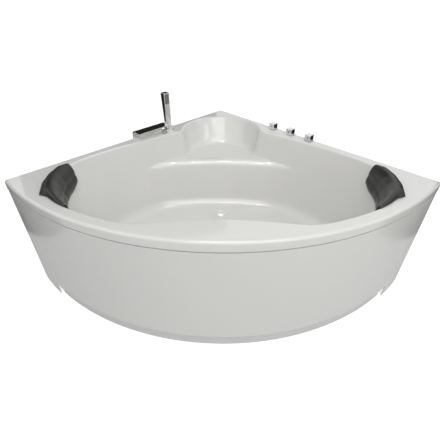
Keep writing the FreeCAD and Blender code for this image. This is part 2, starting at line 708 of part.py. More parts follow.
def seat_board():
    low = UNDER_SEAT - SEAT_BOARD
    board = Part.Face(seat_outline(SEAT_DEPTH, low, 0.0)).extrude(V(0, 0, SEAT_BOARD))
    front = -SEAT_LIP + SEAT_LIP_ROUND + WALL + BOARD_CLEAR
    return board.common(block(-SEAT_HALF_LOW, SEAT_HALF_LOW, front, 0.0, low, UNDER_SEAT))


def base_board():
    low = UNDER_FLOOR - BOARD
    board = Part.Face(well_outline(DEPTH, low, -FLOOR_ROUND, 0.0)).extrude(V(0, 0, BOARD))
    return board.cut(rod(BOARD_HOLE_R, 0.0, -WASTE_Y, low - OVERCUT, UNDER_FLOOR + OVERCUT))


def wall_battens():
    batten = block(BATTEN_FROM, BATTEN_TO, FRAME_OFF, FRAME_OFF + BATTEN_WIDE, BATTEN_LOW, UNDER_DECK)
    return together([at_left(batten), at_right(batten)])


def front_batten():
    a = FRONT_BATTEN_ANGLE
    return ring(RAIL_R - BATTEN_WIDE, RAIL_R, BATTEN_LOW, UNDER_DECK, -a, a)


def foot_pads():
    return together([rod(FOOT_PAD_R, x, y, 0.0, FOOT_PAD_HIGH) for x, y in foot_places()])


def foot_screws():
    """Threaded feet with a hexagon collar under the rail."""
    out = []
    for x, y in foot_places():
        screw = rod(STUD_R, x, y, FOOT_PAD_HIGH, RAIL_LOW + STUD_IN_RAIL)
        out.append(screw.fuse(hexagon(NUT_FLATS, RAIL_LOW - NUT_HIGH, RAIL_LOW, x, y)))
    return together(out)


def wall_brackets():
    along = WALL_POST_ALONG
    half = WALL_BRACKET_LONG / 2.0
    z0, z1 = WALL_BRACKET_Z
    thick = WALL_BRACKET_THICK
    bracket = block(along - half, along + half, 0.0, FRAME_OFF, z0, z1)
    slot = block(along - SIDE, along + SIDE, thick, FRAME_OFF - thick, z0 + thick, z1 + OVERCUT)
    bracket = bracket.cut(slot)
    return together([at_left(bracket), at_right(bracket)])


# ---------------------------------------------------------------- waste
def waste_flange():
    y = -WASTE_Y
    spigot = WASTE_BORE + SPIGOT_WALL
    body = rod(WASTE_FLANGE_R, 0.0, y, FLOOR_LEVEL, FLOOR_LEVEL + WASTE_FLANGE_THICK)
    body = body.fuse(rod(spigot, 0.0, y, TRAP_TOP, FLOOR_LEVEL))
    body = body.cut(rod(WASTE_BORE, 0.0, y, TRAP_TOP - OVERCUT, TOP))
    half = STEM_R + GUIDE_BAR_SIDE
    bar = block(-WASTE_BORE, WASTE_BORE, y - half, y + half, GUIDE_BAR_Z, GUIDE_BAR_Z + GUIDE_BAR_HIGH)
    bar = bar.common(rod(WASTE_BORE + GUIDE_BAR_IN, 0.0, y, 0.0, TOP))
    hub = rod(STEM_R + STEM_CLEAR, 0.0, y, 0.0, TOP)
    return body.fuse(bar).cut(hub)


def waste_seal():
    low = UNDER_FLOOR - SEAL_THICK
    outer = WASTE_FLANGE_R + SEAL_THICK
    bore = WASTE_BORE + SPIGOT_WALL + THREAD_CLEAR
    disc = rod(outer, 0.0, -WASTE_Y, low, UNDER_FLOOR)
    return disc.cut(rod(bore, 0.0, -WASTE_Y, low - OVERCUT, UNDER_FLOOR + OVERCUT))


def waste_nut():
    top = UNDER_FLOOR - SEAL_THICK
    bore = WASTE_BORE + SPIGOT_WALL + THREAD_CLEAR
    return nut(2.0 * WASTE_FLANGE_R, bore, top - WASTE_NUT_HIGH, top, 0.0, -WASTE_Y)


def waste_plug():
    low = FLOOR_LEVEL + WASTE_FLANGE_THICK
    cap = rod(PLUG_R, 0.0, -WASTE_Y, low, low + PLUG_HIGH)
    top = V(0, -WASTE_Y, low + PLUG_HIGH)
    cap = cap.fuse(Part.makeCone(PLUG_R, PLUG_R - PLUG_SLOPE_WIDE, PLUG_SLOPE_HIGH, top))
    return cap.fuse(rod(STEM_R, 0.0, -WASTE_Y, GUIDE_BAR_Z - STEM_LOW, low))


def waste_trap():
    """Cup trap with a socket above, an outlet to the back and an inlet to the front."""
    y = -WASTE_Y
    middle = V(0, y, OUTLET_Z)
    back = V(0, 1, 0)
    front = V(0, -1, 0)
    spigot = WASTE_BORE + SPIGOT_WALL + THREAD_CLEAR
    shoulder = TRAP_R + OUTLET_COLLAR
    length = shoulder + OUTLET_LENGTH
    cup = rod(TRAP_R, 0.0, y, TRAP_LOW, TRAP_TOP)
    cup = cup.fuse(rod(spigot + TRAP_WALL, 0.0, y, TRAP_TOP, TRAP_TOP + TRAP_SOCKET))
    outlet = Part.makeCylinder(PIPE_R, length, middle, back)
    outlet = outlet.fuse(Part.makeCylinder(PIPE_R + OUTLET_COLLAR_WALL, shoulder, middle, back))
    inlet = Part.makeCylinder(OVERFLOW_PIPE_R + TRAP_WALL, TRAP_R + TRAP_INLET, middle, front)
    cup = cup.fuse(outlet).fuse(inlet)
    cup = cup.cut(rod(TRAP_R - TRAP_WALL, 0.0, y, TRAP_LOW + TRAP_WALL, TRAP_TOP - TRAP_WALL))
    cup = cup.cut(rod(spigot, 0.0, y, TRAP_TOP, TRAP_TOP + TRAP_SOCKET + OVERCUT))
    cup = cup.cut(rod(WASTE_BORE, 0.0, y, TRAP_TOP - TRAP_WALL - OVERCUT, TRAP_TOP + OVERCUT))
    cup = cup.cut(Part.makeCylinder(PIPE_R - PIPE_WALL, length + OVERCUT, middle, back))
    pipe = OVERFLOW_PIPE_R + THREAD_CLEAR
    return cup.cut(Part.makeCylinder(pipe, TRAP_R + TRAP_INLET + OVERCUT, middle, front))


def bent_rod(radius):
    """Overflow pipe as a solid rod: down, a round knee and back to the trap."""
    y = OVERFLOW_PIPE_Y
    down = rod(radius, 0.0, y, OUTLET_Z, OVERFLOW_Z - OVERFLOW_PIPE_END)
    run = Part.makeCylinder(radius, -WASTE_Y - TRAP_R - y, V(0, y, OUTLET_Z), V(0, 1, 0))
    return down.fuse(run).fuse(Part.makeSphere(radius + KNEE, V(0, y, OUTLET_Z)))


def overflow_pipe():
    return bent_rod(OVERFLOW_PIPE_R).cut(bent_rod(OVERFLOW_PIPE_R - PIPE_WALL))


def overflow_elbow():
    """Round box behind the basin wall, with a socket for the pipe."""
    y = OVERFLOW_PIPE_Y
    z = OVERFLOW_Z
    pipe = OVERFLOW_PIPE_R
    back = y - pipe - PIPE_WALL
    length = OVERFLOW_Y + OVERFLOW_NOSE - back
    body = Part.makeCylinder(OVERFLOW_BODY_R, length, V(0, back, z), V(0, 1, 0))
    body = body.fuse(rod(pipe + PIPE_WALL, 0.0, y, z - OVERFLOW_SOCKET, z))
    start = V(0, back + TRAP_WALL, z)
    body = body.cut(Part.makeCylinder(OVERFLOW_R - OVERFLOW_LIP, length, start, V(0, 1, 0)))
    low = z - OVERFLOW_SOCKET - OVERCUT
    body = body.cut(rod(pipe + THREAD_CLEAR, 0.0, y, low, z - OVERFLOW_PIPE_END))
    body = body.cut(rod(pipe - PIPE_WALL, 0.0, y, low, z))
    return body.cut(basin(WALL, False))


def overflow_cover():
    """Disc that follows the basin wall, with a slot below its middle."""
    y = OVERFLOW_Y + OVERFLOW_COVER_OUT
    half = OVERFLOW_COVER_R / 2.0
    low, high = COVER_SLOT
    disc = Part.makeCylinder(OVERFLOW_COVER_R, COVER_BLANK, V(0, y, OVERFLOW_Z), V(0, -1, 0))
    disc = disc.common(basin(0.0, True))
    slot = block(-half, half, y - COVER_SLOT_DEEP, y + OVERCUT, OVERFLOW_Z + low, OVERFLOW_Z + high)
    return disc.cut(slot)


# ---------------------------------------------------------------- deck taps
def tap_flanges():
    out = []
    for along in TAPS_ALONG:
        plate = upright(along, TAPS_OFF, FLANGE_SIZE, FLANGE_SIZE, TOP, TOP + FLANGE_HIGH)
        plate = plate.makeChamfer(FINE_EDGE, [e for e in plate.Edges if e.BoundBox.ZMin > TOP + NUDGE])
        hole = rod(NECK_R + THREAD_CLEAR, along, TAPS_OFF, TOP - OVERCUT, TOP + FLANGE_HIGH + OVERCUT)
        out.append(at_right(plate.cut(hole)))
    return together(out)


def tap_neck(along):
    return rod(NECK_R, along, TAPS_OFF, VALVE_TOP, TOP + FLANGE_HIGH)


def spindle_bore(along):
    low = SPINDLE_LOW - SPINDLE_FLOAT
    return rod(SPINDLE_R + SPINDLE_CLEAR, along, TAPS_OFF, low, TOP + FLANGE_HIGH + OVERCUT)


def side_valve(along):
    low = VALVE_TOP - VALVE_LONG
    body = rod(VALVE_R, along, TAPS_OFF, low, VALVE_TOP).fuse(tap_neck(along))
    body = body.fuse(rod(INLET_R, along, TAPS_OFF, low - INLET_LONG, low))
    body = body.cut(rod(INLET_BORE, along, TAPS_OFF, low - INLET_LONG - OVERCUT, low + INLET_BORE_IN))
    return body.cut(spindle_bore(along))


def diverter_body():
    along = TAPS_ALONG[1]
    wide, deep, high = DIVERTER_BLOCK
    low = VALVE_TOP - high
    body = upright(along, TAPS_OFF, wide, deep, low, VALVE_TOP)
    body = body.fuse(tap_neck(along))
    for side in (-DIVERTER_TAILS, DIVERTER_TAILS):
        tail = rod(INLET_R, along + side, TAPS_OFF, low - INLET_LONG, low)
        bore = rod(INLET_BORE, along + side, TAPS_OFF, low - INLET_LONG - OVERCUT, low + INLET_BORE_IN)
        body = body.fuse(tail).cut(bore)
    return body.cut(spindle_bore(along))


def mixer_pipes():
    z = UNDER_DECK - PIPE_DROP
    reach = TAPS_ALONG[1] - TAPS_ALONG[0] - DIVERTER_BLOCK[0] / 2.0
    pipe = Part.makeCylinder(MIXER_PIPE_R, reach, V(TAPS_ALONG[0], TAPS_OFF, z), V(1, 0, 0))
    pipe = pipe.cut(rod(VALVE_R + THREAD_CLEAR, TAPS_ALONG[0], TAPS_OFF, 0.0, TOP))
    other = pipe.mirror(V(TAPS_ALONG[1], 0, 0), V(1, 0, 0))
    return together([at_right(pipe), at_right(other)])


def tap_nuts():
    out = []
    for along in TAPS_ALONG:
        ring_nut = nut(TAP_NUT_FLATS, NECK_R + THREAD_CLEAR, VALVE_TOP, UNDER_DECK, along, TAPS_OFF)
        out.append(at_right(ring_nut))
    return together(out)


def knob(along):
    half = KNOB_SIZE / 2.0
    low = TOP + FLANGE_HIGH + KNOB_GAP
    cube = upright(along, TAPS_OFF, KNOB_SIZE, KNOB_SIZE, low, low + KNOB_HIGH)
    cube = cube.makeChamfer(KNOB_EDGE, [e for e in cube.Edges if e.BoundBox.ZMax > low + NUDGE])
    cube = cube.cut(rod(SPINDLE_R + SPINDLE_CLEAR, along, TAPS_OFF, low - OVERCUT, low + SPINDLE_IN_KNOB))
    cube = cube.cut(dot_rod(along, INDEX_R, TAPS_OFF + half + OVERCUT))
    return at_right(cube)


def dot_rod(along, radius, end):
    """Short rod from the bottom of the index recess outwards."""
    start = TAPS_OFF + KNOB_SIZE / 2.0 - INDEX_DEEP
    z = TOP + FLANGE_HIGH + KNOB_GAP + KNOB_HIGH / 2.0
    return Part.makeCylinder(radius, end - start, V(along, start, z), V(0, 1, 0))


def index_dot(along):
    return at_right(dot_rod(along, INDEX_R, TAPS_OFF + KNOB_SIZE / 2.0))


def spindle(along):
    top = TOP + FLANGE_HIGH + KNOB_GAP + SPINDLE_IN_KNOB
    return at_right(rod(SPINDLE_R, along, TAPS_OFF, SPINDLE_LOW, top))


# ---------------------------------------------------------------- spout
def spout_hood():
    """Bent plate: a standing leg, a rounded bend and the shelf."""
    back = SPOUT_OFF
    front = SPOUT_OFF + SPOUT_REACH
    top = TOP + SPOUT_HIGH
    t = HOOD_THICK
    r = HOOD_BEND
    start = SPOUT_FROM
    ri = r - t
    cx = back + r
    cz = top - r

    def turn(radius):
        d = radius / SQ2
        ends = [V(start, cx - radius, cz), V(start, cx - d, cz + d), V(start, cx, cz + radius)]
        return Part.Arc(ends[0], ends[1], ends[2]).toShape()

    outer = [V(start, back + t, TOP), V(start, back, TOP), V(start, back, cz)]
    shelf = [V(start, cx, top), V(start, front, top), V(start, front, top - t), V(start, cx, top - t)]
    edges = [Part.makeLine(outer[0], outer[1]), Part.makeLine(outer[1], outer[2]), turn(r)]
    edges.extend([Part.makeLine(shelf[i], shelf[i + 1]) for i in range(3)])
    edges.extend([turn(ri), Part.makeLine(V(start, back + t, cz), outer[0])])
    face = Part.Face(Part.Wire(Part.__sortEdges__(edges)))
    return at_left(face.extrude(V(SPOUT_TO - SPOUT_FROM, 0, 0)))


def spout_body():
    """Hollow block under the hood with the outlet slot."""
    back = SPOUT_OFF + HOOD_THICK
    front = back + BODY_DEEP
    top = TOP + SPOUT_HIGH - HOOD_THICK
    x0 = SPOUT_FROM + BODY_END
    x1 = SPOUT_TO - BODY_END
    bend = HOOD_BEND - HOOD_THICK
    body = block(x0, x1, back, front, TOP, top)
    edge = [e for e in body.Edges if e.BoundBox.YMax < back + NUDGE and e.BoundBox.ZMin > top - NUDGE]
    body = body.makeFillet(bend, edge)
    slot_low = top - SLOT_HIGH
    slot = block(x0 + SLOT_END, x1 - SLOT_END, front - SLOT_DEEP, front + OVERCUT, slot_low, top + OVERCUT)
    feed = rod(SHANK_BORE, SHANK_ALONG, SPOUT_DEEP, TOP + SHANK_IN - OVERCUT, slot_low + FEED_RISE)
    seat = rod(SHANK_R + THREAD_CLEAR, SHANK_ALONG, SPOUT_DEEP, TOP - OVERCUT, TOP + SHANK_IN)
    return at_left(body.cut(slot).cut(feed).cut(seat))


def spout_shank():
    """Threaded shank with a thinner half-inch tail."""
    step = UNDER_DECK - SHANK_LOW
    low = step - INLET_LONG
    shank = rod(SHANK_R, SHANK_ALONG, SPOUT_DEEP, step, TOP + SHANK_IN)
    shank = shank.fuse(rod(INLET_R, SHANK_ALONG, SPOUT_DEEP, low, step))
    bore = rod(SHANK_BORE, SHANK_ALONG, SPOUT_DEEP, low - OVERCUT, TOP + SHANK_IN + OVERCUT)
    return at_left(shank.cut(bore))


def spout_nut():
    bore = SHANK_R + THREAD_CLEAR
    return at_left(nut(TAP_NUT_FLATS, bore, VALVE_TOP, UNDER_DECK, SHANK_ALONG, SPOUT_DEEP))


# ---------------------------------------------------------------- hand shower
def stood(size, z0, edge):
    """Upright box about the cradle's middle, with rounded upright edges."""
    x, y = CRADLE_XY
    solid = upright(x, y, size[0], size[1], z0, z0 + size[2])
    return solid.makeFillet(edge, [e for e in solid.Edges if e.BoundBox.ZLength > size[2] - NUDGE])


def handset_cradle():
    x, y = CRADLE_XY
    body = stood(CRADLE_BASE, TOP, HANDSET_EDGE)
    body = body.fuse(stood(CRADLE_BLOCK, TOP + CRADLE_BASE[2], HANDSET_EDGE))
    spare = 2.0 * HANDSET_CLEAR
    room = (HANDSET[0] + spare, HANDSET_FOOT + spare, CRADLE_BLOCK[2] * 2.0)
    body = body.cut(stood(room, TOP + HANDSET_FLOOR, HANDSET_EDGE))
    return at_left(body.cut(rod(HOSE_BORE_R, x, y, TOP - OVERCUT, TOP + HANDSET_FLOOR + OVERCUT)))


def hose_guide():
    x, y = CRADLE_XY
    low = UNDER_DECK - GUIDE_LOW
    guide = rod(GUIDE_R, x, y, low, TOP)
    return at_left(guide.cut(rod(HOSE_BORE_R, x, y, low - OVERCUT, TOP + OVERCUT)))


def guide_nut():
    x, y = CRADLE_XY
    flats = TAP_NUT_FLATS + 2.0 * (GUIDE_R - SHANK_R)
    return at_left(nut(flats, GUIDE_R + THREAD_CLEAR, VALVE_TOP, UNDER_DECK, x, y))


def handset():
    """Bar that is deeper at the spray than at the foot."""
    x, y = CRADLE_XY
    wide, deep, high = HANDSET
    low = TOP + HANDSET_FLOOR
    front = y + HANDSET_FOOT / 2.0
    side = [V(x - wide / 2.0, front, low), V(x - wide / 2.0, front, low + high)]
    side.append(V(x - wide / 2.0, front - deep, low + high))
    side.append(V(x - wide / 2.0, front - HANDSET_FOOT, low + CRADLE_BLOCK[2]))
    side.append(V(x - wide / 2.0, front - HANDSET_FOOT, low))
    body = Part.Face(Part.makePolygon(side + side[:1])).extrude(V(wide, 0, 0))
    tall = CRADLE_BLOCK[2] - NUDGE
    body = body.makeFillet(HANDSET_EDGE, [e for e in body.Edges if e.BoundBox.ZLength > tall])
    body = body.makeChamfer(FINE_EDGE, [e for e in body.Edges if e.BoundBox.ZMin > low + high - NUDGE])
    body = body.fuse(rod(HOSE_TAIL_R, x, y, low - HOSE_TAIL_LONG, low))
    body = body.cut(rod(HOSE_TAIL_BORE, x, y, low - HOSE_TAIL_LONG - OVERCUT, low + HOSE_TAIL_IN))
    return at_left(body.cut(spray_block(SPRAY_PROUD + OVERCUT)))


def spray_block(out):
    x, y = CRADLE_XY
    face = y + HANDSET_FOOT / 2.0
    top = TOP + HANDSET_FLOOR + HANDSET[2] - SPRAY_TOP
    half = SPRAY[0] / 2.0
    return block(x - half, x + half, face - SPRAY_SUNK, face + out, top - SPRAY[1], top)


def spray_plate():
    return at_left(spray_block(SPRAY_PROUD))


# ---------------------------------------------------------------- headrests
def rest_section(centre, station):
    """One upright section across the headrest, standing radially."""
    angle, width, high, thick, drop = station
    a = math.radians(REST_TURN - angle)

    def at(out, z):
        r = TIP_RADIUS_TOP + out
        return V(centre[0] + r * math.cos(a), centre[1] + r * math.sin(a), TOP + z)

    sunk = REST_SUNK
    foot = at(width, -sunk / 2.0)
    shoulder = at(width * 0.85, high * 0.62)
    crest = at(width * 0.1 - thick * 0.25, high)
    brow = at(-thick * 0.85, high * 0.2)
    face = at(-thick - DRAFT * drop * 0.45, -drop * 0.42)
    chin = at(-thick * 0.7 - DRAFT * drop * 0.9, -drop * 0.86)
    low = at(sunk - DRAFT * drop, -drop)
    inner = at(width, -sunk)
    edges = [Part.Arc(foot, shoulder, crest).toShape(), Part.Arc(crest, brow, face).toShape()]
    edges.append(Part.Arc(face, chin, low).toShape())
    edges.append(Part.makeLine(low, inner))
    edges.append(Part.makeLine(inner, foot))
    return Part.Wire(edges)


def headrest():
    """Cushion over the right-hand end of the rim."""
    centre = half_outline(0.0, 0.0)[1][2]
    sections = [rest_section(centre, s) for s in REST_STATIONS]
    cushion = Part.makeLoft(sections, True, True)
    lowest = TOP - DEPTH / 2.0
    above = block(0.0, SIDE, -SIDE, 0.0, TOP + REST_GAP, TOP + DECK_HUMP)
    beside = block(0.0, SIDE, -SIDE, 0.0, lowest, TOP + NUDGE)
    allowed = above.fuse(basin(-REST_WALL_GAP, True).common(beside))
    return cushion.common(allowed)


# ---------------------------------------------------------------- export
def save(name, shape):
    moved = shape.copy()
    moved.translate(V(0, CORNER_Y, 0))
    moved.exportStep("parts/" + name + ".step")


def main():
    os.makedirs("parts", exist_ok=True)
    cold, middle, hot = TAPS_ALONG
    right_rest = headrest()
    pieces = [
        ("bath_shell", bath_shell()),
        ("apron_panel", apron_panel()),
        ("apron_strikers", catches(STRIKER_R - STRIKER_THICK, STRIKER_R, CATCH_HALF)),
        ("apron_catches", catches(RAIL_R + CATCH_SEAT, CATCH_R, CATCH_HALF)),
        ("toe_kick", toe_kick()),
        ("kick_brackets", kick_brackets()),
        ("wall_rail_left", drilled(wall_rail())),
        ("wall_rail_right", drilled(mirrored(wall_rail()))),
        ("front_rail", front_rail()),
        ("seat_cross_rail", drilled(short_rail(RAIL_TOP))),
        ("seat_link_rails", seat_link_rails()),
        ("cross_rail", cross_rail()),
        ("spine_rails", together([drilled(mirrored(spine_rail())), drilled(spine_rail())])),
        ("front_posts", front_posts()),
        ("wall_posts", wall_posts()),
        ("seat_posts", seat_posts()),
        ("seat_rail", short_rail(UNDER_SEAT - SEAT_BOARD)),
        ("seat_board", seat_board()),
        ("base_board", base_board()),
        ("wall_battens", wall_battens()),
        ("front_batten", front_batten()),
        ("foot_pads", foot_pads()),
        ("foot_screws", foot_screws()),
        ("wall_brackets", wall_brackets()),
        ("waste_flange", waste_flange()),
        ("waste_seal", waste_seal()),
        ("waste_nut", waste_nut()),
        ("waste_plug", waste_plug()),
        ("waste_trap", waste_trap()),
        ("overflow_pipe", overflow_pipe()),
        ("overflow_elbow", overflow_elbow()),
        ("overflow_cover", overflow_cover()),
        ("tap_flanges", tap_flanges()),
        ("cold_valve", at_right(side_valve(cold))),
        ("hot_valve", at_right(side_valve(hot))),
        ("diverter_body", at_right(diverter_body())),
        ("mixer_pipes", mixer_pipes()),
        ("tap_nuts", tap_nuts()),
        ("spout_hood", spout_hood()),
        ("spout_body", spout_body()),
        ("spout_shank", spout_shank()),
        ("spout_nut", spout_nut()),
        ("handset_cradle", handset_cradle()),
        ("hose_guide", hose_guide()),
        ("guide_nut", guide_nut()),
        ("handset", handset()),
        ("spray_plate", spray_plate()),
        ("headrest_right", right_rest),
        ("headrest_left", mirrored(right_rest)),
    ]
    for name, along in (("cold", cold), ("diverter", middle), ("hot", hot)):
        pieces.append((name + "_knob", knob(along)))
        pieces.append((name + "_dot", index_dot(along)))
        pieces.append((name + "_spindle", spindle(along)))
    for name, shape in pieces:
        save(name, shape)


if __name__ == "__main__":
    main()
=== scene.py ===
"""Corner bathtub with headrests, deck taps, spout and hand shower, in a pale studio."""

import json
import logging
import math
from dataclasses import dataclass
from enum import Enum

import bmesh
import bpy
from mathutils import Matrix, Vector

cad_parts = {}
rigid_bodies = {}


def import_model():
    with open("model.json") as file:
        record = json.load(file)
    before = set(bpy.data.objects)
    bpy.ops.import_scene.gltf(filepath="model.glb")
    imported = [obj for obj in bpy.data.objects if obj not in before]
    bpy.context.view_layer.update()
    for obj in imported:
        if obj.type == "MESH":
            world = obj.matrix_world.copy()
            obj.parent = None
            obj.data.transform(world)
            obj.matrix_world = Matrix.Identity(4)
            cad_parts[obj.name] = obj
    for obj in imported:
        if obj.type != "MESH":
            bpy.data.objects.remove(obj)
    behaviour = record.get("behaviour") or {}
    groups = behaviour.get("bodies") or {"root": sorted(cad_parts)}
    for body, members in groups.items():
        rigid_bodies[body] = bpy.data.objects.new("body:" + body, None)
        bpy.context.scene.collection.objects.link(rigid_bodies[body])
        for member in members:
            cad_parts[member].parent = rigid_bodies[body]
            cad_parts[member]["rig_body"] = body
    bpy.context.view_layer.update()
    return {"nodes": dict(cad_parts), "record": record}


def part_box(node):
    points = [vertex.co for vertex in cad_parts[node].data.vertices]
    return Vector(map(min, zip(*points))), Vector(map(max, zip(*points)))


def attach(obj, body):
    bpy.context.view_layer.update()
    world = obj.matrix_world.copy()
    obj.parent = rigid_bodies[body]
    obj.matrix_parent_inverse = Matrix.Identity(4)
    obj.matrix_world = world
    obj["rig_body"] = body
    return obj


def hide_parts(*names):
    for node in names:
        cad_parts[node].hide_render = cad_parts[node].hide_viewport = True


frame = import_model()
MM = 0.001
MERGE_MM = 0.02          # points of a node nearer than this are one point
FLAT_DEG = 0.6           # faces that turn less than this are one face
SENSOR_MM = 36.0         # width of the camera's picture plane
VIEW_RANGE = (0.01, 50.0)   # nearest and farthest things that the camera sees, in metres
COAT_ROUGHNESS = 0.05    # clear layer on the acrylic

logging.basicConfig(level=logging.INFO, format="%(name)s: %(message)s")
log = logging.getLogger("bath")


# ---------------------------------------------------------------- finishes
class Grain(Enum):
    """Kinds of fine surface structure."""

    MOULDED = "moulded"      # faint long waves, as on sheet acrylic
    PEBBLED = "pebbled"      # small soft cells, as on foam skin or rubber
    POLISHED = "polished"    # hairline wipe marks
    SPANGLED = "spangled"    # zinc crystals
    SAWN = "sawn"            # straight wood grain
    CHIPPED = "chipped"      # pressed wood chips
    MACHINED = "machined"    # fine turned lines


def node_group(
        name: str, inputs: dict[str, float], outputs: dict[str, str],
        ) -> tuple[bpy.types.NodeTree, bpy.types.Node, bpy.types.Node]:
    """Start a shader node group with named sockets.

    Args:
        name: name of the group.
        inputs: float inputs and their defaults.
        outputs: outputs and their socket types.

    Returns:
        The group, its input node and its output node.
    """
    tree = bpy.data.node_groups.new(name, "ShaderNodeTree")
    for label, value in inputs.items():
        made = tree.interface.new_socket(name=label, in_out="INPUT", socket_type="NodeSocketFloat")
        made.default_value = value
    for label, kind in outputs.items():
        tree.interface.new_socket(name=label, in_out="OUTPUT", socket_type=kind)
    return tree, tree.nodes.new("NodeGroupInput"), tree.nodes.new("NodeGroupOutput")


def placed(tree: bpy.types.NodeTree, kind: str, **settings: object) -> bpy.types.Node:
    """Add a node and set its properties.

    Args:
        tree: tree to add it to.
        kind: node type, without its ShaderNode prefix.
        settings: properties of the node.

    Returns:
        The new node.
    """
    node = tree.nodes.new("ShaderNode" + kind)
    for label, value in settings.items():
        setattr(node, label, value)
    return node


def set_inputs(node: bpy.types.Node, values: dict[str, object]) -> None:
    """Set a node's sockets by name.

    Args:
        node: node to change.
        values: socket names and their values.
    """
    for label, value in values.items():
        node.inputs[label].default_value = value


def wipe_group() -> bpy.types.NodeTree:
    """Group: roughness that changes softly between two values, as on a wiped surface.

    Returns:
        The node group.
    """
    tree, start, end = node_group(
        "wiped_roughness", {"Scale": 6.0, "Low": 0.1, "High": 0.2}, {"Roughness": "NodeSocketFloat"})
    place = placed(tree, "TexCoord")
    noise = placed(tree, "TexNoise")
    set_inputs(noise, {"Detail": 5.0, "Distortion": 0.6})
    spread = placed(tree, "MapRange")
    set_inputs(spread, {"From Min": 0.35, "From Max": 0.65})
    tree.links.new(place.outputs["Object"], noise.inputs["Vector"])
    tree.links.new(start.outputs["Scale"], noise.inputs["Scale"])
    tree.links.new(noise.outputs["Fac"], spread.inputs["Value"])
    tree.links.new(start.outputs["Low"], spread.inputs["To Min"])
    tree.links.new(start.outputs["High"], spread.inputs["To Max"])
    tree.links.new(spread.outputs["Result"], end.inputs["Roughness"])
    return tree


def tint_group() -> bpy.types.NodeTree:
    """Group: a mask that drifts slowly over the surface, for small colour changes.

    Returns:
        The node group.
    """
    tree, start, end = node_group("slow_tint", {"Scale": 2.0}, {"Mask": "NodeSocketFloat"})
    place = placed(tree, "TexCoord")
    noise = placed(tree, "TexNoise")
    set_inputs(noise, {"Detail": 3.0})
    tree.links.new(place.outputs["Object"], noise.inputs["Vector"])
    tree.links.new(start.outputs["Scale"], noise.inputs["Scale"])
    tree.links.new(noise.outputs["Fac"], end.inputs["Mask"])
    return tree


def relief_group(name: str, kind: str, squeeze: tuple[float, float, float]) -> bpy.types.NodeTree:
    """Group: fine relief as a normal, from noise or cells that may be drawn out.

    Args:
        name: name of the group.
        kind: texture node type.
        squeeze: how often the pattern repeats along X, Y and Z.

    Returns:
        The node group.
    """
    tree, start, end = node_group(
        name, {"Scale": 100.0, "Strength": 0.1, "Depth": 0.0002},
        {"Normal": "NodeSocketVector", "Height": "NodeSocketFloat"})
    place = placed(tree, "TexCoord")
    mapping = placed(tree, "Mapping")
    set_inputs(mapping, {"Scale": squeeze})
    texture = placed(tree, kind)
    bump = placed(tree, "Bump")
    value = "Distance" if kind == "TexVoronoi" else "Fac"
    tree.links.new(place.outputs["Object"], mapping.inputs["Vector"])
    tree.links.new(mapping.outputs["Vector"], texture.inputs["Vector"])
    tree.links.new(start.outputs["Scale"], texture.inputs["Scale"])
    tree.links.new(texture.outputs[value], bump.inputs["Height"])
    tree.links.new(start.outputs["Strength"], bump.inputs["Strength"])
    tree.links.new(start.outputs["Depth"], bump.inputs["Distance"])
    tree.links.new(bump.outputs["Normal"], end.inputs["Normal"])
    tree.links.new(texture.outputs[value], end.inputs["Height"])
    return tree


class Groups:
    """The shader groups that all finishes share."""

    def __init__(self) -> None:
        """Build every group once."""
        self.wipe = wipe_group()
        self.tint = tint_group()
        self.relief = {
            Grain.MOULDED: relief_group("moulded_relief", "TexNoise", (1.0, 1.0, 1.0)),
            Grain.PEBBLED: relief_group("pebbled_relief", "TexVoronoi", (1.0, 1.0, 1.0)),
            Grain.POLISHED: relief_group("polished_relief", "TexNoise", (1.0, 1.0, 0.08)),
            Grain.SPANGLED: relief_group("spangled_relief", "TexVoronoi", (1.0, 1.0, 0.7)),
            Grain.SAWN: relief_group("sawn_relief", "TexNoise", (0.1, 1.0, 1.0)),
            Grain.CHIPPED: relief_group("chipped_relief", "TexVoronoi", (1.0, 1.0, 1.0)),
            Grain.MACHINED: relief_group("machined_relief", "TexNoise", (0.2, 0.2, 6.0)),
        }


@dataclass(frozen=True)
class Finish:
    """One surface finish, in plain terms."""

    name: str
    colour: tuple[float, float, float]
    second: tuple[float, float, float]
    grain: Grain
    roughness: tuple[float, float] = (0.2, 0.3)
    metallic: float = 0.0
    relief_scale: float = 100.0
    relief_depth: float = 0.0001
    relief_strength: float = 0.2
    tint_scale: float = 3.0
    wipe_scale: float = 6.0
    grain_colour: bool = False
    coat: float = 0.0
    sheen: float = 0.0

    def material(self, groups: Groups) -> bpy.types.Material:
        """Build the material.

        Args:
            groups: the shared shader groups.

        Returns:
            The node material.
        """
        made = bpy.data.materials.new(self.name)
        made.use_nodes = True
        tree = made.node_tree
        shader = tree.nodes["Principled BSDF"]
        set_inputs(shader, {
            "Metallic": self.metallic, "Coat Weight": self.coat,
            "Coat Roughness": COAT_ROUGHNESS, "Sheen Weight": self.sheen})
        low, high = self.roughness
        wipe = placed(tree, "Group", node_tree=groups.wipe)
        set_inputs(wipe, {"Scale": self.wipe_scale, "Low": low, "High": high})
        tree.links.new(wipe.outputs["Roughness"], shader.inputs["Roughness"])
        relief = placed(tree, "Group", node_tree=groups.relief[self.grain])
        set_inputs(relief, {
            "Scale": self.relief_scale, "Strength": self.relief_strength,
            "Depth": self.relief_depth})
        tree.links.new(relief.outputs["Normal"], shader.inputs["Normal"])
        mix = placed(tree, "Mix", data_type="RGBA")
        set_inputs(mix, {"A": (*self.colour, 1.0), "B": (*self.second, 1.0)})
        if self.grain_colour:
            tree.links.new(relief.outputs["Height"], mix.inputs["Factor"])
        else:
            tint = placed(tree, "Group", node_tree=groups.tint)
            set_inputs(tint, {"Scale": self.tint_scale})
            tree.links.new(tint.outputs["Mask"], mix.inputs["Factor"])
        tree.links.new(mix.outputs["Result"], shader.inputs["Base Color"])
        return made


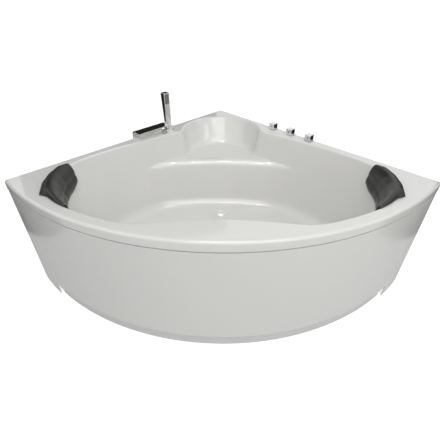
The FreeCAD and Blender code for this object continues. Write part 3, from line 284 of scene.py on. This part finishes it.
def grey(value: float, warm: float = 0.0) -> tuple[float, float, float]:
    """A grey, made a little warmer or cooler.

    Args:
        value: lightness.
        warm: amount added to red and taken from blue.

    Returns:
        The colour.
    """
    return (value + warm, value, value - warm)


FINISHES = {
    "white_acrylic": Finish(
        "glossy_acrylic", (0.805, 0.802, 0.782), (0.780, 0.778, 0.755), Grain.MOULDED, (0.05, 0.10),
        relief_scale=7.0, relief_depth=0.0006, relief_strength=0.10, tint_scale=1.5, wipe_scale=5.0,
        coat=0.3),
    "apron_acrylic": Finish(
        "apron_acrylic", (0.785, 0.782, 0.762), (0.760, 0.758, 0.736), Grain.MOULDED, (0.18, 0.26),
        relief_scale=5.0, relief_depth=0.0008, relief_strength=0.12, tint_scale=1.2, wipe_scale=4.0,
        coat=0.15),
    "kick_plastic": Finish(
        "satin_plastic", grey(0.74), grey(0.70), Grain.PEBBLED, (0.36, 0.46), relief_scale=900.0,
        relief_depth=0.00005, relief_strength=0.15),
    "chrome_taps": Finish(
        "polished_chrome", grey(0.80), grey(0.74), Grain.POLISHED, (0.03, 0.08), metallic=1.0,
        relief_scale=120.0, relief_depth=0.00002, relief_strength=0.08, wipe_scale=25.0),
    "chrome_waste": Finish(
        "satin_chrome", grey(0.88), grey(0.84), Grain.POLISHED, (0.22, 0.34), metallic=1.0,
        relief_scale=90.0, relief_depth=0.00003, relief_strength=0.10, wipe_scale=30.0),
    "brass": Finish(
        "turned_brass", (0.62, 0.46, 0.20), (0.50, 0.36, 0.15), Grain.MACHINED, (0.25, 0.40),
        metallic=1.0, relief_scale=300.0, relief_depth=0.00004, relief_strength=0.2),
    "copper_pipe": Finish(
        "drawn_copper", (0.64, 0.33, 0.20), (0.45, 0.22, 0.13), Grain.MACHINED, (0.22, 0.42),
        metallic=1.0, relief_scale=150.0, relief_depth=0.00003, tint_scale=20.0),
    "frame_steel": Finish(
        "galvanised_tube", grey(0.46, -0.01), grey(0.60, -0.01), Grain.SPANGLED, (0.30, 0.52),
        metallic=0.9, relief_scale=70.0, relief_depth=0.00005, relief_strength=0.15,
        grain_colour=True),
    "zinc_steel": Finish(
        "zinc_plate", (0.58, 0.57, 0.50), grey(0.62), Grain.MACHINED, (0.25, 0.40), metallic=1.0,
        relief_scale=250.0, relief_depth=0.00002, tint_scale=30.0),
    "board_wood": Finish(
        "pressed_chips", (0.52, 0.38, 0.22), (0.30, 0.19, 0.09), Grain.CHIPPED, (0.65, 0.85),
        relief_scale=180.0, relief_depth=0.0004, relief_strength=0.35, grain_colour=True),
    "batten_wood": Finish(
        "sawn_softwood", (0.62, 0.45, 0.26), (0.42, 0.27, 0.13), Grain.SAWN, (0.60, 0.80),
        relief_scale=90.0, relief_depth=0.0004, relief_strength=0.4, grain_colour=True),
    "black_plastic": Finish(
        "black_plastic", grey(0.035), grey(0.05), Grain.PEBBLED, (0.45, 0.60), relief_scale=1200.0,
        relief_depth=0.00005),
    "pipe_plastic": Finish(
        "white_pipe", grey(0.72, 0.01), grey(0.66, 0.02), Grain.MOULDED, (0.30, 0.42),
        relief_scale=60.0, relief_depth=0.0001),
    "foot_rubber": Finish(
        "black_rubber", grey(0.03), grey(0.05), Grain.PEBBLED, (0.70, 0.85), relief_scale=800.0,
        relief_depth=0.0001, relief_strength=0.3),
    "seal_rubber": Finish(
        "seal_rubber", grey(0.04), grey(0.06), Grain.PEBBLED, (0.55, 0.70), relief_scale=900.0,
        relief_depth=0.00006),
    "grey_rubber": Finish(
        "spray_rubber", grey(0.16), grey(0.20), Grain.PEBBLED, (0.42, 0.55), relief_scale=1000.0,
        relief_depth=0.00005),
    "dot_enamel": Finish(
        "dark_enamel", grey(0.02), grey(0.03), Grain.POLISHED, (0.10, 0.20), relief_scale=300.0,
        relief_depth=0.00002),
    "headrest_foam": Finish(
        "foam_skin", grey(0.012, 0.001), grey(0.021, 0.001), Grain.PEBBLED, (0.30, 0.46),
        relief_scale=420.0, relief_depth=0.00035, relief_strength=0.35, tint_scale=12.0,
        wipe_scale=14.0, sheen=0.02),
}


class Wardrobe:
    """Makes each finish once and puts it on pieces."""

    def __init__(self) -> None:
        """Build the shared groups."""
        self.groups = Groups()
        self.made: dict[str, bpy.types.Material] = {}

    def material(self, slot: str) -> bpy.types.Material:
        """The material of one slot of the record.

        Args:
            slot: name of the slot.

        Returns:
            Its material, built on first use.
        """
        if slot not in self.made:
            self.made[slot] = FINISHES[slot].material(self.groups)
        return self.made[slot]

    def dress(self, piece: bpy.types.Object, slot: str) -> None:
        """Give a piece one finish all over.

        Args:
            piece: object to dress.
            slot: name of the record's material slot.
        """
        piece.data.materials.clear()
        piece.data.materials.append(self.material(slot))


# ---------------------------------------------------------------- mesh helpers
def linked(name: str, mesh: bmesh.types.BMesh) -> bpy.types.Object:
    """Turn a bmesh into an object at the origin.

    Args:
        name: name of the piece.
        mesh: its mesh, freed afterwards.

    Returns:
        The new object.
    """
    data = bpy.data.meshes.new(name)
    mesh.to_mesh(data)
    mesh.free()
    piece = bpy.data.objects.new(name, data)
    bpy.context.scene.collection.objects.link(piece)
    return piece


def shaded(mesh: bmesh.types.BMesh, sharp_deg: float) -> None:
    """Smooth all faces and keep edges sharper than an angle.

    Args:
        mesh: mesh to change.
        sharp_deg: smallest angle of a sharp edge.
    """
    limit = math.radians(sharp_deg)
    for face in mesh.faces:
        face.smooth = True
    for edge in mesh.edges:
        edge.smooth = edge.calc_face_angle(0.0) < limit


def merged_copy(node: str) -> bmesh.types.BMesh:
    """A joined-up copy of a node's mesh.

    Args:
        node: name of the node.

    Returns:
        The copy, with its doubled points merged.
    """
    mesh = bmesh.new()
    mesh.from_mesh(frame["nodes"][node].data)
    bmesh.ops.remove_doubles(mesh, verts=mesh.verts[:], dist=MERGE_MM * MM)
    return mesh


def softened(node: str, edge_mm: float, sharp_deg: float = 32.0) -> bpy.types.Object:
    """A copy of a node with its flat faces joined and its sharp edges rounded a little.

    Args:
        node: name of the node.
        edge_mm: width of the rounding, or nought to leave the edges.
        sharp_deg: smallest angle of an edge that is rounded.

    Returns:
        The new piece, standing for the node.
    """
    mesh = merged_copy(node)
    bmesh.ops.dissolve_limit(
        mesh, angle_limit=math.radians(FLAT_DEG), verts=mesh.verts[:], edges=mesh.edges[:])
    if edge_mm > 0.0:
        limit = math.radians(sharp_deg)
        edges = [edge for edge in mesh.edges if edge.calc_face_angle(0.0) > limit]
        bmesh.ops.bevel(
            mesh, geom=edges, offset=edge_mm * MM, segments=2, profile=0.5, affect="EDGES",
            clamp_overlap=True, material=-1)
    shaded(mesh, sharp_deg)
    piece = linked(node + "_piece", mesh)
    weigh = piece.modifiers.new("even_normals", "WEIGHTED_NORMAL")
    weigh.keep_sharp = True
    body = frame["nodes"][node]["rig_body"]
    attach(piece, body)
    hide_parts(node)
    return piece


# ---------------------------------------------------------------- assemblies
@dataclass
class Frame:
    """Support frame, boards, battens, feet and fittings, which keep their modelled shape."""

    wardrobe: Wardrobe

    def build(self) -> None:
        """Give every node the finish of its slot."""
        slots = {row["node"]: row["material_slot"] for row in frame["record"]["subparts"]}
        for name, node in frame["nodes"].items():
            self.wardrobe.dress(node, slots[name])
        log.info("nodes dressed: %d", len(slots))


@dataclass
class Tub:
    """Bath shell, apron and toe kick."""

    wardrobe: Wardrobe
    shell_edge_mm: float = 0.0
    shell_sharp_deg: float = 40.0
    panel_edge_mm: float = 1.2

    def build(self) -> None:
        """Build the white pieces."""
        shell = softened("bath_shell", self.shell_edge_mm, self.shell_sharp_deg)
        self.wardrobe.dress(shell, "white_acrylic")
        apron = softened("apron_panel", self.panel_edge_mm)
        self.wardrobe.dress(apron, "apron_acrylic")
        kick = softened("toe_kick", self.panel_edge_mm)
        self.wardrobe.dress(kick, "kick_plastic")
        log.info("shell, apron and toe kick built")


@dataclass
class Taps:
    """Square controls on the right deck and the spout on the left."""

    wardrobe: Wardrobe
    edge_mm: float = 0.7
    chrome: tuple[str, ...] = (
        "tap_flanges", "cold_knob", "diverter_knob", "hot_knob", "spout_hood", "spout_body",
        "handset_cradle", "handset")

    def build(self) -> None:
        """Round the edges of the chrome pieces."""
        for node in self.chrome:
            piece = softened(node, self.edge_mm)
            self.wardrobe.dress(piece, "chrome_taps")
        log.info("chrome pieces built: %d", len(self.chrome))


@dataclass
class SprayFace:
    """Rubber nozzles on the hand shower's spray plate."""

    wardrobe: Wardrobe
    columns: int = 3
    rows: int = 7
    pitch: float = 0.0066
    nozzle_r: float = 0.0012
    nozzle_tip_r: float = 0.0007
    nozzle_high: float = 0.0012
    nozzle_sides: int = 12
    plate_half: float = 0.0008
    sharp_deg: float = 40.0

    def build(self) -> None:
        """Set the nozzles on the plate, square to it."""
        low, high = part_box("spray_plate")
        middle = (low + high) / 2.0
        outward = Vector((1.0, -1.0, 0.0)).normalized()
        across = Vector((1.0, 1.0, 0.0)).normalized()
        face = middle + outward * self.plate_half
        turn = outward.to_track_quat("Z", "Y").to_matrix().to_4x4()
        mesh = bmesh.new()
        for column in range(self.columns):
            for row in range(self.rows):
                side = (column - (self.columns - 1) / 2.0) * self.pitch
                rise = (row - (self.rows - 1) / 2.0) * self.pitch
                place = face + across * side + Vector((0.0, 0.0, rise))
                place += outward * (self.nozzle_high / 2.0)
                bmesh.ops.create_cone(
                    mesh, cap_ends=True, segments=self.nozzle_sides, radius1=self.nozzle_r,
                    radius2=self.nozzle_tip_r, depth=self.nozzle_high,
                    matrix=Matrix.Translation(place) @ turn)
        shaded(mesh, self.sharp_deg)
        piece = linked("spray_nozzles", mesh)
        self.wardrobe.dress(piece, "grey_rubber")
        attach(piece, "hand_shower")
        log.info("spray face: %d nozzles", self.columns * self.rows)


@dataclass
class Headrest:
    """Soft cushion over one end of the basin."""

    wardrobe: Wardrobe
    side: str
    voxel: float = 0.004
    smooth_share: float = 0.5
    smooth_rounds: int = 5

    def build(self) -> None:
        node = "headrest_" + self.side
        mesh = merged_copy(node)
        piece = linked("cushion_" + self.side + "_piece", mesh)
        remesh = piece.modifiers.new("even_mesh", "REMESH")
        remesh.mode = "VOXEL"
        remesh.voxel_size = self.voxel
        smooth = piece.modifiers.new("soft_form", "SMOOTH")
        smooth.factor = self.smooth_share
        smooth.iterations = self.smooth_rounds
        depsgraph = bpy.context.evaluated_depsgraph_get()
        finished = bpy.data.meshes.new_from_object(piece.evaluated_get(depsgraph))
        piece.modifiers.clear()
        piece.data = finished
        for face in finished.polygons:
            face.use_smooth = True
        self.wardrobe.dress(piece, "headrest_foam")
        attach(piece, "cushion_" + self.side)
        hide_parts(node)
        log.info("headrest %s: %d faces", self.side, len(finished.polygons))


# ---------------------------------------------------------------- studio
def seen_rays(tree: bpy.types.NodeTree) -> bpy.types.NodeSocket:
    """One for rays of the camera, of reflections and of clear materials, else nought.

    Args:
        tree: material or world tree to add the nodes to.

    Returns:
        The socket with the value.
    """
    path = placed(tree, "LightPath")
    either = placed(tree, "Math", operation="MAXIMUM")
    every = placed(tree, "Math", operation="MAXIMUM")
    tree.links.new(path.outputs["Is Camera Ray"], either.inputs[0])
    tree.links.new(path.outputs["Is Glossy Ray"], either.inputs[1])
    tree.links.new(either.outputs[0], every.inputs[0])
    tree.links.new(path.outputs["Is Transmission Ray"], every.inputs[1])
    return every.outputs[0]


@dataclass(frozen=True)
class View:
    """Camera of the photograph, from the perspective of rim, walls and apron."""

    position: tuple[float, float, float] = (-0.0078, -1.4371, 1.3174)
    turn_deg: float = 0.75
    down_deg: float = 34.26
    roll_deg: float = -0.13
    lens_mm: float = 25.352
    shift: tuple[float, float] = (0.0095, -0.0479)

    def build(self) -> None:
        """Make the camera the scene's own."""
        data = bpy.data.cameras.new("camera")
        data.lens = self.lens_mm
        data.sensor_width = SENSOR_MM
        data.shift_x, data.shift_y = self.shift
        data.clip_start, data.clip_end = VIEW_RANGE
        camera = bpy.data.objects.new("camera", data)
        bpy.context.scene.collection.objects.link(camera)
        turn = Matrix.Rotation(math.radians(self.turn_deg), 4, "Z")
        tilt = Matrix.Rotation(math.radians(90.0 - self.down_deg), 4, "X")
        roll = Matrix.Rotation(math.radians(self.roll_deg), 4, "Z")
        camera.matrix_world = Matrix.Translation(self.position) @ turn @ tilt @ roll
        bpy.context.scene.camera = camera


@dataclass(frozen=True)
class Softbox:
    """One rectangular lamp that looks at the bath, or only makes shine on it."""

    name: str
    place: tuple[float, float, float]
    size: tuple[float, float]
    watts: float
    aim: tuple[float, float, float] = (0.0, 0.0, 0.4)
    only_shine: bool = False

    def build(self) -> None:
        """Add the lamp."""
        data = bpy.data.lights.new(self.name, "AREA")
        data.shape = "RECTANGLE"
        data.size, data.size_y = self.size
        data.energy = self.watts
        lamp = bpy.data.objects.new(self.name, data)
        lamp.location = self.place
        way = Vector(self.aim) - Vector(self.place)
        lamp.rotation_euler = way.to_track_quat("-Z", "Y").to_euler()
        lamp.visible_diffuse = not self.only_shine
        bpy.context.scene.collection.objects.link(lamp)


@dataclass(frozen=True)
class Flag:
    """Black card that only shows in polished metal, as photographers use."""

    name: str
    centre: tuple[float, float, float]
    half: tuple[float, float]
    facing: tuple[float, float, float]
    felt: float = 0.02

    def build(self) -> None:
        """Stand the card up, seen by reflections alone."""
        turn = Vector(self.facing).normalized().to_track_quat("Z", "Y").to_matrix().to_4x4()
        stretch = Matrix.Diagonal((*self.half, 1.0, 1.0))
        mesh = bmesh.new()
        bmesh.ops.create_grid(
            mesh, x_segments=1, y_segments=1, size=1.0,
            matrix=Matrix.Translation(self.centre) @ turn @ stretch)
        card = linked(self.name, mesh)
        made = bpy.data.materials.new(self.name + "_felt")
        made.use_nodes = True
        shader = made.node_tree.nodes["Principled BSDF"]
        set_inputs(shader, {"Base Color": (*grey(self.felt), 1.0), "Roughness": 1.0})
        card.data.materials.append(made)
        card.visible_camera = False
        card.visible_diffuse = False
        card.visible_shadow = False


@dataclass
class Studio:
    """Pale floor, even sky, soft lamps and black cards for the chrome."""

    floor_size: float = 14.0
    floor_colour: float = 0.70
    floor_roughness: float = 0.9
    floor_glow: float = 0.68
    sky: float = 0.50
    lamps: tuple[Softbox, ...] = (
        Softbox("overhead", (0.3, -1.9, 3.3), (2.4, 2.0), 42.0),
        Softbox("front_left", (-2.6, -3.0, 2.0), (1.8, 1.6), 3.0),
        Softbox("front_right", (2.6, -3.2, 2.2), (1.8, 1.6), 20.0),
        Softbox("shine_strip", (0.1, -0.2, 2.6), (0.9, 0.16), 9.0, only_shine=True),
    )
    flags: tuple[Flag, ...] = (
        Flag("back_flag", (-1.5, 3.0, 2.6), (1.6, 1.2), (0.3, -1.0, -0.4)),
        Flag("left_flag", (-1.45, 0.5, 0.55), (1.1, 0.55), (1.0, 0.0, 0.2)),
        Flag("right_flag", (1.45, 0.5, 0.55), (1.1, 0.55), (-1.0, 0.0, 0.2)),
    )

    def build(self) -> None:
        """Build the studio."""
        self.floor()
        self.world()
        for item in (*self.lamps, *self.flags):
            item.build()
        log.info("studio: %d lamps, %d cards", len(self.lamps), len(self.flags))

    def floor(self) -> None:
        """Wide pale floor that keeps the shadow and glows only for the camera."""
        mesh = bmesh.new()
        bmesh.ops.create_grid(mesh, x_segments=1, y_segments=1, size=self.floor_size)
        floor = linked("floor", mesh)
        made = bpy.data.materials.new("studio_floor")
        made.use_nodes = True
        tree = made.node_tree
        shader = tree.nodes["Principled BSDF"]
        set_inputs(shader, {
            "Base Color": (*grey(self.floor_colour), 1.0), "Roughness": self.floor_roughness,
            "Specular IOR Level": 0.0, "Emission Color": (1.0, 1.0, 1.0, 1.0)})
        glow = placed(tree, "Math", operation="MULTIPLY")
        glow.inputs[1].default_value = self.floor_glow
        path = placed(tree, "LightPath")
        tree.links.new(path.outputs["Is Camera Ray"], glow.inputs[0])
        tree.links.new(glow.outputs[0], shader.inputs["Emission Strength"])
        floor.data.materials.append(made)

    def world(self) -> None:
        """Even sky: white to the camera, softer on the object."""
        world = bpy.data.worlds.new("studio_sky")
        bpy.context.scene.world = world
        world.use_nodes = True
        tree = world.node_tree
        back = tree.nodes["Background"]
        set_inputs(back, {"Color": (1.0, 1.0, 1.0, 1.0)})
        mix = placed(tree, "Mix", data_type="FLOAT")
        set_inputs(mix, {"A": self.sky, "B": 1.0})
        tree.links.new(seen_rays(tree), mix.inputs["Factor"])
        tree.links.new(mix.outputs["Result"], back.inputs["Strength"])


# ---------------------------------------------------------------- scene
def main() -> None:
    """Build the bath and the studio."""
    wardrobe = Wardrobe()
    Frame(wardrobe).build()
    Tub(wardrobe).build()
    Taps(wardrobe).build()
    SprayFace(wardrobe).build()
    for side in ("left", "right"):
        Headrest(wardrobe, side).build()
    Studio().build()
    View().build()
    bpy.context.scene.view_settings.view_transform = "Standard"


if __name__ == "__main__":
    main()
